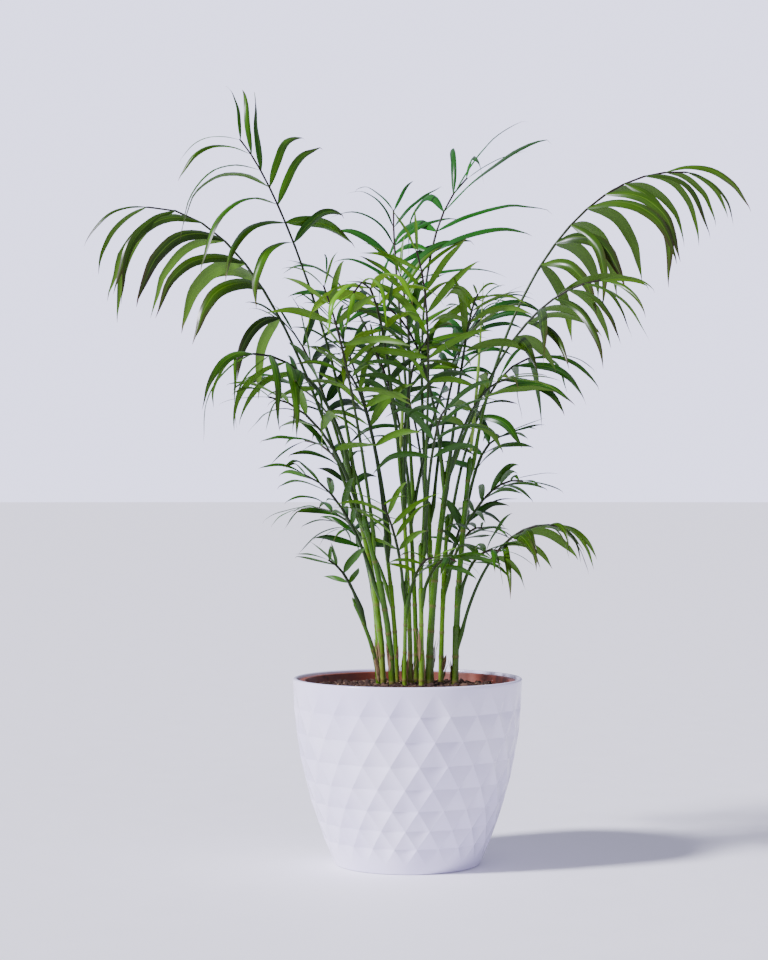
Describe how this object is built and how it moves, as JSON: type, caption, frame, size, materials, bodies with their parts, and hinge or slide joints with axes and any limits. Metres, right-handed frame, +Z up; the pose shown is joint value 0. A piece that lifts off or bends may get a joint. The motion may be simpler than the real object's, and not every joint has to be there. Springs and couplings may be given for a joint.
{
  "type": "potted palm",
  "caption": "Clump of parlour palms with arching feathery fronds, in a round grower's pot set inside a faceted white outer pot.",
  "frame": {"origin": "centre of the outer pot's underside", "axes": "+Z up; -Y is the side seen in the picture's view"},
  "size_m": [0.4211, 0.2716, 0.5149],
  "materials": {
    "outer_pot": "gloss",
    "grower_pot": "satin",
    "soil": "matte",
    "cane": "satin",
    "leaf": "satin"
  },
  "bodies": {
    "root": {"cane_01": "cane", "cane_02": "cane", "cane_03": "cane", "cane_04": "cane", "cane_05": "cane", "cane_06": "cane", "cane_07": "cane", "cane_08": "cane", "cane_09": "cane", "cane_10": "cane", "cane_11": "cane", "cane_12": "cane", "cane_13": "cane", "frond_01": "leaf", "frond_02": "leaf", "frond_03": "leaf", "frond_04": "leaf", "frond_05": "leaf", "frond_06": "leaf", "frond_07": "leaf", "frond_08": "leaf", "frond_09": "leaf", "frond_10": "leaf", "frond_11": "leaf", "frond_12": "leaf", "frond_13": "leaf", "frond_14": "leaf", "frond_15": "leaf", "frond_16": "leaf", "frond_17": "leaf", "frond_18": "leaf", "frond_19": "leaf", "frond_20": "leaf", "frond_21": "leaf", "frond_22": "leaf", "frond_23": "leaf", "frond_24": "leaf", "frond_25": "leaf", "frond_26": "leaf", "frond_27": "leaf", "frond_28": "leaf", "frond_29": "leaf", "frond_30": "leaf", "frond_31": "leaf", "frond_32": "leaf", "frond_33": "leaf", "frond_34": "leaf", "frond_35": "leaf", "frond_36": "leaf", "frond_37": "leaf", "frond_38": "leaf", "frond_39": "leaf", "frond_40": "leaf", "frond_41": "leaf", "grower_pot": "grower_pot", "outer_pot": "outer_pot", "soil": "soil", "spear_1": "leaf", "spear_2": "leaf"}
  },
  "joints": []
}
